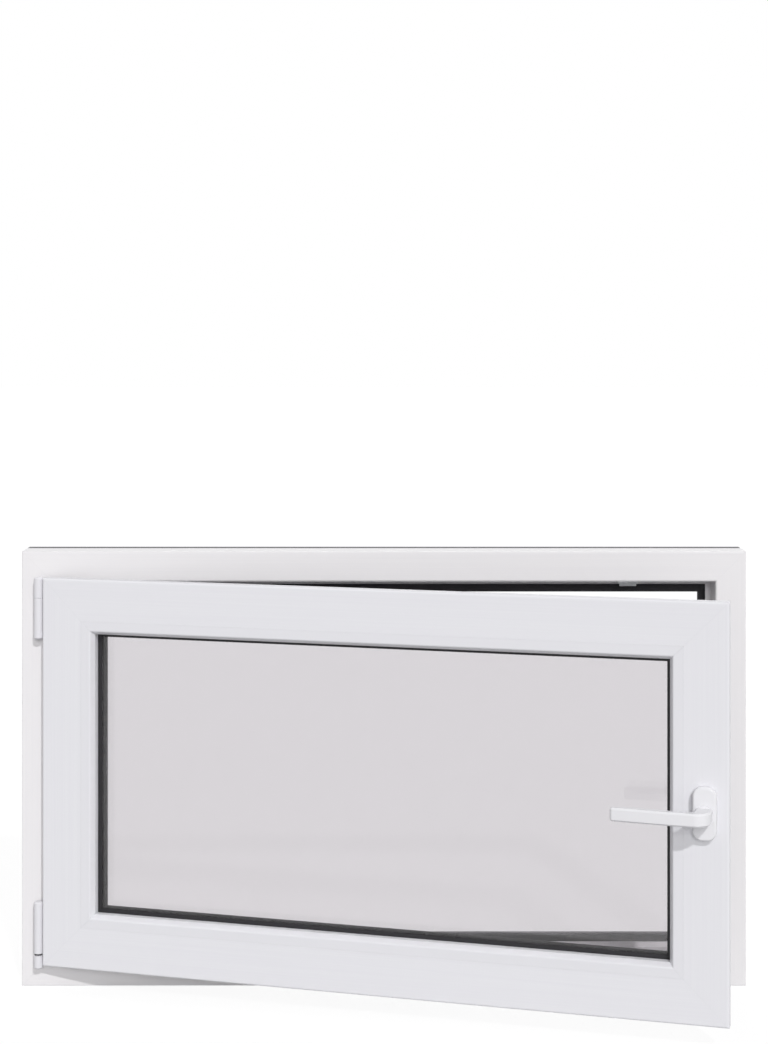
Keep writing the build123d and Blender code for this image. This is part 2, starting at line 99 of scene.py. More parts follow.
# The frame's two tones are painted lighter than the sash's: painted light for the brighter frame around the
# sash.
FRAME_WHITE_PAINTED_LIFT = "#EFEDEE"
FRAME_STREAK_PAINTED_LIFT = "#E9E7E9"
BEAD_WHITE = "#E5E5E8"
WELD_SHADE = "#BDBCC2"
FOIL_GREY = "#504F54"
FOIL_DARK = "#414045"
FOIL_SEAM = "#2A292D"
RUBBER_BLACK = "#1D1C1F"
RUBBER_DUST = "#2C2B2E"
ENAMEL_WHITE = "#E9E8EB"
COVER_WHITE = "#E3E2E5"
ZINC_GREY = "#D3D4D5"
ZINC_DARK = "#B2B3B6"
SPACER_GREY = "#8F9092"
GLASS_TINT = "#E9E7E9"
GLASS_SHADOW = "#FAFAFA"
SKY_FILL = "#FDFDFF"
print("the white of the sash in linear light is", [round(c, 3) for c in linear(PVC_WHITE)[:3]])

# %% [markdown]
# A material is a small tree of nodes. Writing each node takes three steps: make it, give it its
# settings, and fill its inputs. One helper does all three. An input is either a plain value or
# the output of another node, and the helper sees which of the two it has been given. A second
# function starts a finish with the shader that all of them share.


# %% A helper that adds one node
def add_node(tree, kind, settings=None, inputs=None):
    node = tree.nodes.new(kind)
    for name, value in (settings or {}).items():
        setattr(node, name, value)
    for socket, value in (inputs or {}).items():
        if isinstance(value, bpy.types.NodeSocket):
            tree.links.new(value, node.inputs[socket])
        else:
            node.inputs[socket].default_value = value
    return node


# The mix node has a set of sockets for each kind of data, so they are picked by number.
MIX_FIRST = 6
MIX_SECOND = 7
MIX_RESULT = 2
MIX_VECTOR_FIRST = 4
MIX_VECTOR_SECOND = 5
MIX_VECTOR_RESULT = 1


def start_finish(name, colour, roughness, ior=1.5, metallic=0.0):
    """A new material with one shader. A metal keeps the shader's own IOR."""
    material = bpy.data.materials.new(name)
    material.use_nodes = True
    tree = material.node_tree
    tree.nodes.clear()
    looks = {"Base Color": linear(colour), "Roughness": roughness, "Metallic": metallic}
    if not metallic:
        looks["IOR"] = ior
    shader = add_node(tree, "ShaderNodeBsdfPrincipled", inputs=looks)
    add_node(tree, "ShaderNodeOutputMaterial", inputs={"Surface": shader.outputs[0]})
    return material, tree, shader


print("helpers ready")

# %% [markdown]
# Window profiles are pushed through a die, which leaves faint lines along each bar, and the
# bars are welded together at 45 degrees, which leaves a fine seam at each corner. Both follow
# from where a point lies in the ring: the nearer pair of sides says which way the lines run,
# and the seam is where the two distances are equal. Working them out from the place needs no
# unwrapped surface, and the same few nodes serve the frame, the sash and the beads.


# %% Lines along the bars and the corner seams
frame_size = (cad_high.x - cad_low.x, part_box("frame_head")[1].z)
sash_reveal = 34 * MM
sash_size = (frame_size[0] - 2 * sash_reveal, frame_size[1] - 2 * sash_reveal)
seam_width = 0.5 * MM


def ring_pattern(tree, on_sash, line_width, stretch):
    """Noise drawn out along the bars, a mask of the corner seams, and the place it is read at."""
    place = add_node(tree, "ShaderNodeTexCoord").outputs["Object"]
    width, height = frame_size
    if on_sash:
        turn = {"Vector": place, "Location": closed_turn.to_translation(), "Rotation": closed_turn.to_euler()}
        place = add_node(tree, "ShaderNodeMapping", inputs=turn).outputs[0]
        width, height = sash_size
    parts = add_node(tree, "ShaderNodeSeparateXYZ", inputs={0: place}).outputs
    minus = {"operation": "SUBTRACT"}
    unsigned = {"operation": "ABSOLUTE"}
    # Distances from the side and from the end of the ring
    sideways = add_node(tree, "ShaderNodeMath", unsigned, {0: parts[0]}).outputs[0]
    to_side = add_node(tree, "ShaderNodeMath", minus, {0: width / 2, 1: sideways}).outputs[0]
    over_middle = add_node(tree, "ShaderNodeMath", minus, {0: parts[2], 1: frame_size[1] / 2}).outputs[0]
    upwards = add_node(tree, "ShaderNodeMath", unsigned, {0: over_middle}).outputs[0]
    to_end = add_node(tree, "ShaderNodeMath", minus, {0: height / 2, 1: upwards}).outputs[0]
    # The bar is an upright one where the side is nearer than the end
    apart = add_node(tree, "ShaderNodeMath", minus, {0: to_end, 1: to_side}).outputs[0]
    upright = add_node(tree, "ShaderNodeMath", {"operation": "GREATER_THAN"}, {0: apart, 1: 0.0}).outputs[0]
    times = {"operation": "MULTIPLY"}
    along_level = add_node(tree, "ShaderNodeVectorMath", times, {0: place, 1: (1 / stretch, 1, 1)})
    along_upright = add_node(tree, "ShaderNodeVectorMath", times, {0: place, 1: (1, 1, 1 / stretch)})
    chosen = add_node(
        tree,
        "ShaderNodeMix",
        {"data_type": "VECTOR"},
        {0: upright, MIX_VECTOR_FIRST: along_level.outputs[0], MIX_VECTOR_SECOND: along_upright.outputs[0]},
    ).outputs[MIX_VECTOR_RESULT]
    lines = add_node(
        tree,
        "ShaderNodeTexNoise",
        inputs={"Vector": chosen, "Scale": 1 / line_width, "Detail": 3.0, "Roughness": 0.6},
    ).outputs[0]
    off_seam = add_node(tree, "ShaderNodeMath", unsigned, {0: apart}).outputs[0]
    seam = add_node(
        tree,
        "ShaderNodeMapRange",
        inputs={"Value": off_seam, "From Min": 0.0, "From Max": seam_width, "To Min": 1.0, "To Max": 0.0},
    ).outputs[0]
    return lines, seam, place


print("frame", [round(x, 3) for x in frame_size], "sash", [round(x, 3) for x in sash_size])

# %% [markdown]
# The profiles are unplasticised PVC, a hard white plastic with a soft gloss. It looks almost
# one colour. What the eye notices are long faint streaks in the highlights, so the lines go
# into the relief, and only a trace of them goes into the colour. They could be painted, but a
# noise drawn out along each bar has a real size and never shows a joint. The lines are 2.2 mm
# wide, coarser than the real ones, because finer ones don't show at this distance.


# %% White window profile
def white_profile(name, on_sash, colour, shade):
    line_depth = 0.012 * MM
    seam_tint = 0.12
    seam_dip = 0.5
    material, tree, shader = start_finish(name, colour, roughness=0.34, ior=1.53)
    lines, seam = ring_pattern(tree, on_sash, line_width=2.2 * MM, stretch=160)[:2]
    streaked = add_node(
        tree,
        "ShaderNodeMix",
        {"data_type": "RGBA"},
        {0: lines, MIX_FIRST: linear(colour), MIX_SECOND: linear(shade)},
    ).outputs[MIX_RESULT]
    times = {"operation": "MULTIPLY"}
    faint_seam = add_node(tree, "ShaderNodeMath", times, {0: seam, 1: seam_tint}).outputs[0]
    seamed = add_node(
        tree,
        "ShaderNodeMix",
        {"data_type": "RGBA"},
        {0: faint_seam, MIX_FIRST: streaked, MIX_SECOND: linear(WELD_SHADE)},
    ).outputs[MIX_RESULT]
    tree.links.new(seamed, shader.inputs["Base Color"])
    groove = add_node(tree, "ShaderNodeMath", times, {0: seam, 1: seam_dip}).outputs[0]
    relief = add_node(tree, "ShaderNodeMath", {"operation": "SUBTRACT"}, {0: lines, 1: groove}).outputs[0]
    bump = add_node(tree, "ShaderNodeBump", inputs={"Height": relief, "Distance": line_depth})
    tree.links.new(bump.outputs[0], shader.inputs["Normal"])
    return material


# The frame's white is a lighter copy of the sash's PVC, a painted lift of light.
frame_white_painted_lift = white_profile("extruded_white_pvc_frame_painted_lift", on_sash=False, colour=FRAME_WHITE_PAINTED_LIFT, shade=FRAME_STREAK_PAINTED_LIFT)
sash_white = white_profile("extruded_white_pvc_sash", on_sash=True, colour=PVC_WHITE, shade=PVC_SHADE)
bead_white = white_profile("extruded_white_pvc_bead", on_sash=True, colour=BEAD_WHITE, shade=PVC_SHADE)
print("made", frame_white_painted_lift.name, sash_white.name, "and", bead_white.name)

# %% [markdown]
# The outdoor side carries a printed foil, hot-laid on the profile. It is embossed with short
# fine pores that run along the bar, so it is less shiny than the white side, and its
# highlights break up. The print is a little cloudy over a few centimetres. The embossing
# scatters most of the sheen, so the shader's specular level is low. At the corners the foil is
# cut through with the profile, and the cut shows as a dark line. The same lines as on the white
# side serve here, made finer and much shorter, though still coarser than real pores.


# %% Anthracite foil
def dark_foil(name, on_sash):
    pore_depth = 0.05 * MM
    cloud_size = 28 * MM
    cloud_share = 0.25
    seam_tint = 0.8
    seam_dip = 1.5
    material, tree, shader = start_finish(name, FOIL_GREY, roughness=0.50)
    shader.inputs["Specular IOR Level"].default_value = 0.22
    pores, seam, place = ring_pattern(tree, on_sash, line_width=0.7 * MM, stretch=14)
    drifts = {"Vector": place, "Scale": 1 / cloud_size, "Detail": 3.0}
    clouds = add_node(tree, "ShaderNodeTexNoise", inputs=drifts).outputs[0]
    reach = {"From Min": 0.3, "From Max": 0.7, "To Min": -cloud_share, "To Max": cloud_share}
    cloudy = add_node(tree, "ShaderNodeMapRange", inputs={"Value": clouds, **reach}).outputs[0]
    print_tone = add_node(tree, "ShaderNodeMath", {"operation": "ADD"}, {0: pores, 1: cloudy}).outputs[0]
    printed = add_node(
        tree,
        "ShaderNodeMix",
        {"data_type": "RGBA"},
        {0: print_tone, MIX_FIRST: linear(FOIL_DARK), MIX_SECOND: linear(FOIL_GREY)},
    ).outputs[MIX_RESULT]
    times = {"operation": "MULTIPLY"}
    cut_seam = add_node(tree, "ShaderNodeMath", times, {0: seam, 1: seam_tint}).outputs[0]
    seamed = add_node(
        tree,
        "ShaderNodeMix",
        {"data_type": "RGBA"},
        {0: cut_seam, MIX_FIRST: printed, MIX_SECOND: linear(FOIL_SEAM)},
    ).outputs[MIX_RESULT]
    tree.links.new(seamed, shader.inputs["Base Color"])
    groove = add_node(tree, "ShaderNodeMath", times, {0: seam, 1: seam_dip}).outputs[0]
    relief = add_node(tree, "ShaderNodeMath", {"operation": "SUBTRACT"}, {0: pores, 1: groove}).outputs[0]
    bump = add_node(tree, "ShaderNodeBump", inputs={"Height": relief, "Distance": pore_depth})
    tree.links.new(bump.outputs[0], shader.inputs["Normal"])
    return material


frame_dark = dark_foil("embossed_anthracite_foil_frame", on_sash=False)
sash_dark = dark_foil("embossed_anthracite_foil_sash", on_sash=True)
print("made", frame_dark.name, "and", sash_dark.name)

# %% [markdown]
# The other finishes have no direction of their own, so they share one recipe: two close tones
# mixed by a noise of a real size, the same noise as relief, and a roughness that varies a little.
# Grains under a millimetre wouldn't show from the camera, so the fine ones are drawn near that.


# %% Finishes without a direction
def speckled(name, light, dark, grain, relief, roughness, ior=1.5, metallic=0.0, spread=0.04):
    """Two close tones in grains of a real size, with the same grains as relief and in the gloss."""
    material, tree, shader = start_finish(name, light, roughness, ior, metallic)
    place = add_node(tree, "ShaderNodeTexCoord").outputs["Object"]
    noise = add_node(
        tree,
        "ShaderNodeTexNoise",
        inputs={"Vector": place, "Scale": 1 / grain, "Detail": 4.0, "Roughness": 0.55},
    ).outputs[0]
    tone = add_node(
        tree,
        "ShaderNodeMix",
        {"data_type": "RGBA"},
        {0: noise, MIX_FIRST: linear(dark), MIX_SECOND: linear(light)},
    ).outputs[MIX_RESULT]
    gloss = add_node(
        tree,
        "ShaderNodeMapRange",
        inputs={"Value": noise, "To Min": roughness - spread, "To Max": roughness + spread},
    ).outputs[0]
    bump = add_node(tree, "ShaderNodeBump", inputs={"Height": noise, "Distance": relief})
    tree.links.new(tone, shader.inputs["Base Color"])
    tree.links.new(gloss, shader.inputs["Roughness"])
    tree.links.new(bump.outputs[0], shader.inputs["Normal"])
    return material


print("one recipe for the finishes without a direction")

# %% [markdown]
# The seals and gaskets are extruded rubber, nearly black and dull. Their skin holds a trace of
# dust, which lifts the tone a little, and it reflects less than a hard plastic.

# %% Black rubber
rubber = speckled(
    "extruded_black_rubber",
    RUBBER_DUST,
    RUBBER_BLACK,
    grain=1.5 * MM,
    relief=0.02 * MM,
    roughness=0.6,
    ior=1.4,
)
print("made", rubber.name)

# %% [markdown]
# Three white finishes sit on the hardware. The handle is cast zinc with powder enamel, bright
# and smooth with a very soft orange peel. The cover caps are injection moulded plastic, duller
# than the lever. The hinge bodies under them are steel with a thin coat of white paint, which
# follows the metal closely, so its grain is the finest of the three.

# %% White enamel, moulded caps and painted steel
enamel = speckled(
    "white_powder_enamel", ENAMEL_WHITE, PVC_WHITE, grain=3 * MM, relief=0.01 * MM, roughness=0.24
)
moulded = speckled(
    "moulded_white_plastic", COVER_WHITE, PVC_SHADE, grain=1.2 * MM, relief=0.008 * MM, roughness=0.38
)
painted = speckled(
    "white_painted_steel", COVER_WHITE, PVC_SHADE, grain=0.9 * MM, relief=0.012 * MM, roughness=0.36
)
print("made", enamel.name, moulded.name, "and", painted.name)

# %% [markdown]
# The gear strips, cams, keepers and the stay arm are rolled steel with bright zinc plate, a
# pale metal with cloudy tones. The spacer between the panes is aluminium tube as it leaves the
# mill, darker and duller. Both keep the shader's own IOR, since metals get their looks from
# their colour and roughness.

# %% Zinc plate and mill finish aluminium
zinc = speckled(
    "zinc_plated_steel",
    ZINC_GREY,
    ZINC_DARK,
    grain=5 * MM,
    relief=0.006 * MM,
    roughness=0.32,
    metallic=1.0,
    spread=0.08,
)
spacer = speckled(
    "mill_finish_aluminium",
    SPACER_GREY,
    ZINC_DARK,
    grain=2 * MM,
    relief=0.01 * MM,
    roughness=0.45,
    metallic=1.0,
)
print("made", zinc.name, "and", spacer.name)

# %% [markdown]
# The drain caps on the sill are moulded in a weather-proof plastic dyed to match the foil. The
# fine spark texture of their mould takes the edge off the reflections, so their IOR is low.

# %% Dark plastic of the drain caps
dark_plastic = speckled(
    "moulded_anthracite_plastic",
    FOIL_GREY,
    FOIL_DARK,
    grain=0.8 * MM,
    relief=0.02 * MM,
    roughness=0.45,
    ior=1.33,
)
print("made", dark_plastic.name)

# %% [markdown]
# Float glass is clear with a faint tint, and light passes four faces of it in this unit. Light
# from a lamp can't find its way through a refracting surface by itself, so for shadow rays a
# see-through shader takes its place. A very wide, very shallow relief bends the reflections a
# little, as the rollers of a real line do.

# %% Glass
ripple_width = 250 * MM
ripple_depth = 0.02 * MM
glass, tree, shader = start_finish("float_glass", GLASS_TINT, roughness=0.0, ior=1.52)
shader.inputs["Transmission Weight"].default_value = 1.0
place = add_node(tree, "ShaderNodeTexCoord").outputs["Object"]
waves = {"Vector": place, "Scale": 1 / ripple_width, "Detail": 0.0}
ripple = add_node(tree, "ShaderNodeTexNoise", inputs=waves).outputs[0]
bump = add_node(tree, "ShaderNodeBump", inputs={"Height": ripple, "Distance": ripple_depth})
tree.links.new(bump.outputs[0], shader.inputs["Normal"])
clear = add_node(tree, "ShaderNodeBsdfTransparent", inputs={"Color": linear(GLASS_SHADOW)})
rays = add_node(tree, "ShaderNodeLightPath")
mixed = add_node(
    tree,
    "ShaderNodeMixShader",
    inputs={0: rays.outputs["Is Shadow Ray"], 1: shader.outputs[0], 2: clear.outputs[0]},
)
output = next(n for n in tree.nodes if n.bl_idname == "ShaderNodeOutputMaterial")
tree.links.new(mixed.outputs[0], output.inputs["Surface"])
print("made", glass.name)

# %% [markdown]
# Sharp edges catch no light, and every real profile, cap and plate has a small radius on its
# edges. A bevel gives them one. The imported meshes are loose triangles, so they are first joined
# and their flat faces merged, and weighted normals then keep the flat faces flat. Extruded bars
# and rolled plates have the crispest edges. Caps are softer, and the handle is softest, because
# a hand closes around it. The panes keep flat faces and sharp edges, since rounded shading would
# bend what is seen through them, and so does the small seat that is hidden in the barrel.


# %% Finish and edges of each solid
def soften(piece, radius, segments):
    joining_distance = 0.002 * MM
    flat_angle = 0.5
    sharp_angle = 28
    weld = piece.modifiers.new("join_triangles", "WELD")
    weld.merge_threshold = joining_distance
    merge = piece.modifiers.new("merge_flat_faces", "DECIMATE")
    merge.decimate_type = "DISSOLVE"
    merge.angle_limit = math.radians(flat_angle)
    bevel = piece.modifiers.new("edge_radius", "BEVEL")
    bevel.width = radius
    bevel.segments = segments
    bevel.limit_method = "ANGLE"
    bevel.angle_limit = math.radians(sharp_angle)
    bevel.use_clamp_overlap = True
    normals = piece.modifiers.new("even_shading", "WEIGHTED_NORMAL")
    normals.keep_sharp = False


def dress(names, material, radius=0.0, smooth=True, segments=2):
    for name in names:
        piece = nodes[name]
        piece.data.materials.clear()
        piece.data.materials.append(material)
        if smooth:
            piece.data.polygons.foreach_set("use_smooth", [True] * len(piece.data.polygons))
        if radius:
            soften(piece, radius, segments)


bar_edge = 0.1 * MM
plate_edge = 0.2 * MM
soft_edge = 0.3 * MM
cap_edge = 0.5 * MM
rosette_edge = 1.0 * MM
lever_edge = 1.2 * MM
dress(("frame_head", "frame_sill", "frame_hinge_jamb", "frame_lock_jamb"), frame_white_painted_lift, bar_edge)
dress(("sash_top_rail", "sash_bottom_rail", "sash_hinge_stile", "sash_lock_stile"), sash_white, bar_edge)
dress(("bead_top", "bead_bottom", "bead_hinge", "bead_lock"), bead_white, soft_edge)
dress(("frame_foil",), frame_dark, plate_edge)
dress(("sash_foil",), sash_dark, plate_edge)
dress(("frame_seal", "sash_seal", "bead_gasket", "glazing_gasket"), rubber, soft_edge)
dress(("drain_caps",), dark_plastic, soft_edge)
dress(("faceplate_top", "faceplate_bottom", "faceplate_hinge", "faceplate_lock"), zinc, plate_edge)
dress(("strikers", "locking_cams", "stay_arm"), zinc, plate_edge)
dress(("corner_hinge", "stay_bearing", "corner_bearing"), painted, plate_edge)
dress(("stay_bearing_cover", "stay_eye_cover", "corner_hinge_cover"), moulded, cap_edge, segments=3)
dress(("pivot_seat",), moulded)
dress(("glass_spacer",), spacer, soft_edge)
dress(("handle_lever",), enamel, lever_edge, segments=4)
dress(("handle_rosette",), enamel, rosette_edge, segments=4)
dress(("inner_pane", "outer_pane"), glass, smooth=False)
print("dressed", sum(1 for o in nodes.values() if o.data.materials), "nodes")

# %% [markdown]
# The gear strips and the keepers are held by countersunk screws with a cross slot. A ready-made
# cylinder would look like a rivet. So one head is made point by point, a shallow dome with a real
# cross cut into it, because at this size the dark slot is what makes it read as a screw.


# %% One screw head
def screw_head(name, radius=3.4 * MM, rise=0.5 * MM, arm=1.9 * MM, half_slot=0.42 * MM, depth=0.7 * MM):
    """A shallow dome with a cross cut into it, standing on the origin and facing up."""
    foot_depth = 0.3 * MM
    rim_rise = 0.12 * MM
    crown_radius = 0.82 * radius
    slot_taper = 0.85
    steps = 24
    mesh = bpy.data.meshes.new(name)
    shape = bmesh.new()
    angles = [2 * math.pi * step / steps for step in range(steps)]
    foot = [shape.verts.new((radius * math.cos(a), radius * math.sin(a), -foot_depth)) for a in angles]
    rim = [shape.verts.new((radius * math.cos(a), radius * math.sin(a), rim_rise)) for a in angles]
    crown = [shape.verts.new((crown_radius * math.cos(a), crown_radius * math.sin(a), rise)) for a in angles]
    quarter = ((arm, -half_slot), (arm, half_slot), (half_slot, half_slot))
    cross = []
    for turn in range(4):
        c, s = (1, 0, -1, 0)[turn], (0, 1, 0, -1)[turn]
        cross += [(x * c - y * s, x * s + y * c) for x, y in quarter]
    slot_top = [shape.verts.new((x, y, rise)) for x, y in cross]
    slot_floor = [shape.verts.new((slot_taper * x, slot_taper * y, rise - depth)) for x, y in cross]
    rings = ((foot, rim), (rim, crown), (slot_floor, slot_top))
    for low, high in rings:
        count = len(low)
        for i in range(count):
            j = (i + 1) % count
            shape.faces.new((low[i], low[j], high[j], high[i]))
    shape.faces.new(slot_floor)
    shape.faces.new(foot)
    edges = [e for e in shape.edges if all(v in crown or v in slot_top for v in e.verts)]
    bmesh.ops.triangle_fill(shape, use_beauty=True, use_dissolve=False, edges=edges)
    bmesh.ops.recalc_face_normals(shape, faces=shape.faces)
    shape.to_mesh(mesh)
    shape.free()
    return mesh


head_mesh = screw_head("cross_slot_head")
head_object = bpy.data.objects.new("cross_slot_head", head_mesh)
print("one head has", len(head_mesh.polygons), "faces")

# %% [markdown]
# The heads repeat, so Geometry Nodes set them out, and one tree serves both sets. It takes a mesh
# whose points are the screw places and whose attribute says which way each one faces. Each head
# is turned by a different angle, because no fitter leaves all the slots in line.


# %% A tree that sets screws on their places
def screw_tree():
    tree = bpy.data.node_groups.new("set_screws", "GeometryNodeTree")
    sockets = tree.interface
    sockets.new_socket("Geometry", in_out="INPUT", socket_type="NodeSocketGeometry")
    sockets.new_socket("Head", in_out="INPUT", socket_type="NodeSocketObject")
    sockets.new_socket("Size", in_out="INPUT", socket_type="NodeSocketFloat")
    sockets.new_socket("Seed", in_out="INPUT", socket_type="NodeSocketInt")
    sockets.new_socket("Finish", in_out="INPUT", socket_type="NodeSocketMaterial")
    sockets.new_socket("Geometry", in_out="OUTPUT", socket_type="NodeSocketGeometry")
    given = add_node(tree, "NodeGroupInput").outputs
    vectors = {"data_type": "FLOAT_VECTOR"}
    facing = add_node(tree, "GeometryNodeInputNamedAttribute", vectors, {"Name": "facing"})
    outwards = facing.outputs["Attribute"]
    upright = add_node(tree, "FunctionNodeAlignRotationToVector", {"axis": "Z"}, {"Vector": outwards})
    # A slot looks the same after a quarter turn, so the angles go no further than that
    quarter = {"Min": 0.0, "Max": math.pi / 2, "Seed": given["Seed"]}
    angle = add_node(tree, "FunctionNodeRandomValue", {"data_type": "FLOAT"}, quarter)
    turned_by = next(socket for socket in angle.outputs if socket.enabled)
    spin = add_node(tree, "ShaderNodeCombineXYZ", inputs={"Z": turned_by})
    heads = add_node(tree, "GeometryNodeObjectInfo", inputs={"Object": given["Head"]})
    placed = add_node(
        tree,
        "GeometryNodeInstanceOnPoints",
        inputs={
            "Points": given["Geometry"],
            "Instance": heads.outputs["Geometry"],
            "Rotation": upright.outputs["Rotation"],
            "Scale": given["Size"],
        },
    )
    turned = add_node(
        tree,
        "GeometryNodeRotateInstances",
        inputs={"Instances": placed.outputs[0], "Rotation": spin.outputs[0]},
    )
    real = add_node(tree, "GeometryNodeRealizeInstances", inputs={"Geometry": turned.outputs[0]})
    finished = add_node(
        tree, "GeometryNodeSetMaterial", inputs={"Geometry": real.outputs[0], "Material": given["Finish"]}
    )
    add_node(tree, "NodeGroupOutput", inputs={0: finished.outputs[0]})
    return tree


set_screws = screw_tree()
print("tree", set_screws.name, "has", len(set_screws.nodes), "nodes")

# %% [markdown]
# The tree runs once for each body that carries screws. Its result is kept as a plain mesh and
# the helper points are removed, so each set is one ordinary piece. The sash's screws are set
# out as if it were closed, and the finished mesh is then turned open with it.


# %% Run the tree and keep a plain mesh
def place_screws(name, places, size, seed, turn=None):
    """A mesh of screw heads. Each place is a point and the way the head faces."""
    seats = bpy.data.meshes.new(name + "_seats")
    seats.from_pydata([point for point, facing in places], [], [])
    facing = seats.attributes.new("facing", "FLOAT_VECTOR", "POINT")
    facing.data.foreach_set("vector", [x for point, way in places for x in way])
    source = bpy.data.objects.new(name + "_seats", seats)
    bpy.context.scene.collection.objects.link(source)
    modifier = source.modifiers.new("screws", "NODES")
    modifier.node_group = set_screws
    given = {"Head": head_object, "Size": size, "Seed": seed, "Finish": zinc}
    for item in set_screws.interface.items_tree:
        if item.in_out == "INPUT" and item.name in given:
            modifier[item.identifier] = given[item.name]
    graph = bpy.context.evaluated_depsgraph_get()
    mesh = bpy.data.meshes.new_from_object(source.evaluated_get(graph), depsgraph=graph)
    bpy.data.objects.remove(source)
    mesh.name = name
    if turn is not None:
        mesh.transform(turn)
    piece = bpy.data.objects.new(name, mesh)
    bpy.context.scene.collection.objects.link(piece)
    return piece


print("screws can be placed")

# %% [markdown]
# The gear strips lie in a groove that runs all round the sash behind its overlap, so their faces
# are 20 mm inside the sash's edge. Strips of this kind are screwed down every 15 cm or so, in one
# row, and the places are counted from the middle of each side. The hinge side has one screw
# less, because the corner hinge's leg covers the lowest place.

# %% Screws of the gear strips
overlap_width = 20 * MM
strip_row_y = -20 * MM
strip_face_x = sash_size[0] / 2 - overlap_width
strip_face_low = sash_reveal + overlap_width
strip_face_high = frame_size[1] - sash_reveal - overlap_width
middle_z = frame_size[1] / 2
upright_pitch = 145 * MM
level_pitch = 160 * MM
lowest_step = -1.5
strip_places = []
for step in (lowest_step, -0.5, 0.5, 1.5):
    height = middle_z + step * upright_pitch
    strip_places.append(((strip_face_x, strip_row_y, height), (1, 0, 0)))
    if step > lowest_step:
        strip_places.append(((-strip_face_x, strip_row_y, height), (-1, 0, 0)))
for step in (-2.5, -1.5, -0.5, 0.5, 1.5, 2.5):
    strip_places.append(((step * level_pitch, strip_row_y, strip_face_high), (0, 0, 1)))
    strip_places.append(((step * level_pitch, strip_row_y, strip_face_low), (0, 0, -1)))
strip_screws = place_screws("gear_strip_screws", strip_places, size=1.0, seed=4, turn=rest_turn)
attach(strip_screws, "sash")
print(len(strip_places), "strip screws,", len(strip_screws.data.polygons), "faces")

# %% [markdown]
# The keepers are small plates on the frame that the sash's cams lock behind. Each is held by two
# screws, a little smaller than those of the strips. Two keepers sit on the lock jamb, one on
# the head and one on the sill.

# %% Screws of the keepers
keeper_rise = 2.5 * MM
frame_face = 42 * MM
keeper_row_y = -18 * MM
screw_offset = 8 * MM
jamb_keeper_heights = (150 * MM, 450 * MM)
level_keeper_x = 337 * MM
keeper_face_x = frame_size[0] / 2 - frame_face - keeper_rise
head_keeper_z = frame_size[1] - frame_face - keeper_rise
sill_keeper_z = frame_face + keeper_rise
keeper_places = []
for height in jamb_keeper_heights:
    for step in (-screw_offset, screw_offset):
        keeper_places.append(((keeper_face_x, keeper_row_y, height + step), (-1, 0, 0)))
for step in (-screw_offset, screw_offset):
    keeper_places.append(((level_keeper_x + step, keeper_row_y, head_keeper_z), (0, 0, -1)))
    keeper_places.append(((level_keeper_x + step, keeper_row_y, sill_keeper_z), (0, 0, 1)))
keeper_screws = place_screws("keeper_screws", keeper_places, size=0.9, seed=7)
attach(keeper_screws, "frame")
print(len(keeper_places), "keeper screws")

# %% [markdown]
# Between the barrel on the frame and the cover on the sash there is a narrow gap. A black ring
# sits on the pin there, under the cover, and turns and tilts with the sash. Its black is partly a
# real washer and partly painted shade, standing in for the deep shade in that slit. It leaves
# room below for the tilt. A torus would be too round for it, so four corners are carried round
# the hinge line, and the upper edge stands out a little over the lower one.

# %% Ring on the corner hinge's pin
cover_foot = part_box("corner_hinge_cover")[0].z
ring_low = cover_foot - 1.7 * MM
ring_high = cover_foot - 0.02 * MM
ring_bore = 3.02 * MM
ring_foot = 5.1 * MM
ring_head = 5.4 * MM
ring_steps = 40
ring_mesh = bpy.data.meshes.new("hinge_ring")
shape = bmesh.new()
profile = ((ring_bore, ring_low), (ring_foot, ring_low), (ring_head, ring_high), (ring_bore, ring_high))
angles = [2 * math.pi * step / ring_steps for step in range(ring_steps)]
loops = []
for radius, height in profile:
    loops.append([shape.verts.new((radius * math.cos(a), radius * math.sin(a), height)) for a in angles])
for first, second in zip(loops, loops[1:] + loops[:1]):
    for i in range(ring_steps):
        j = (i + 1) % ring_steps
        shape.faces.new((first[i], first[j], second[j], second[i]))
bmesh.ops.recalc_face_normals(shape, faces=shape.faces)
shape.to_mesh(ring_mesh)
shape.free()
ring_mesh.transform(Matrix.Translation((hinge_point.x, hinge_point.y, 0)))
# The ring's black rubber is partly painted shade for the dark slit under the cover.
ring_mesh.materials.append(rubber)
hinge_ring = bpy.data.objects.new("hinge_ring", ring_mesh)
bpy.context.scene.collection.objects.link(hinge_ring)
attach(hinge_ring, "sash")
print("the ring fills", round((ring_high - ring_low) / MM, 2), "mm of the gap")

# %% [markdown]
# The studio is a white floor under a white sky. For the camera, for reflections and through
# glass the sky is plain white. For all other light it is a soft grey that fills the shadows.
# So the background stays as white as the photograph's, and the white plastic doesn't wash out.


# %% Sky
def seen_directly(tree):
    """1 for rays that show the background: from the camera, in reflections and through glass."""
    rays = add_node(tree, "ShaderNodeLightPath").outputs
    seen = {0: rays["Is Camera Ray"], 1: rays["Is Glossy Ray"]}
    plain = add_node(tree, "ShaderNodeMath", {"operation": "ADD"}, seen).outputs[0]
    through = {0: plain, 1: rays["Is Transmission Ray"]}
    return add_node(tree, "ShaderNodeMath", {"operation": "ADD", "use_clamp": True}, through).outputs[0]


fill_strength = 0.42
world = bpy.data.worlds.new("white_studio")
bpy.context.scene.world = world
world.use_nodes = True
tree = world.node_tree
tree.nodes.clear()
fill = add_node(tree, "ShaderNodeBackground", inputs={"Color": linear(SKY_FILL), "Strength": fill_strength})
white = add_node(tree, "ShaderNodeBackground", inputs={"Color": (1, 1, 1, 1), "Strength": 1.0})
sky_seen = {0: seen_directly(tree), 1: fill.outputs[0], 2: white.outputs[0]}
sky = add_node(tree, "ShaderNodeMixShader", inputs=sky_seen)
add_node(tree, "ShaderNodeOutputWorld", inputs={"Surface": sky.outputs[0]})
print("sky fills the shadows with", fill_strength)

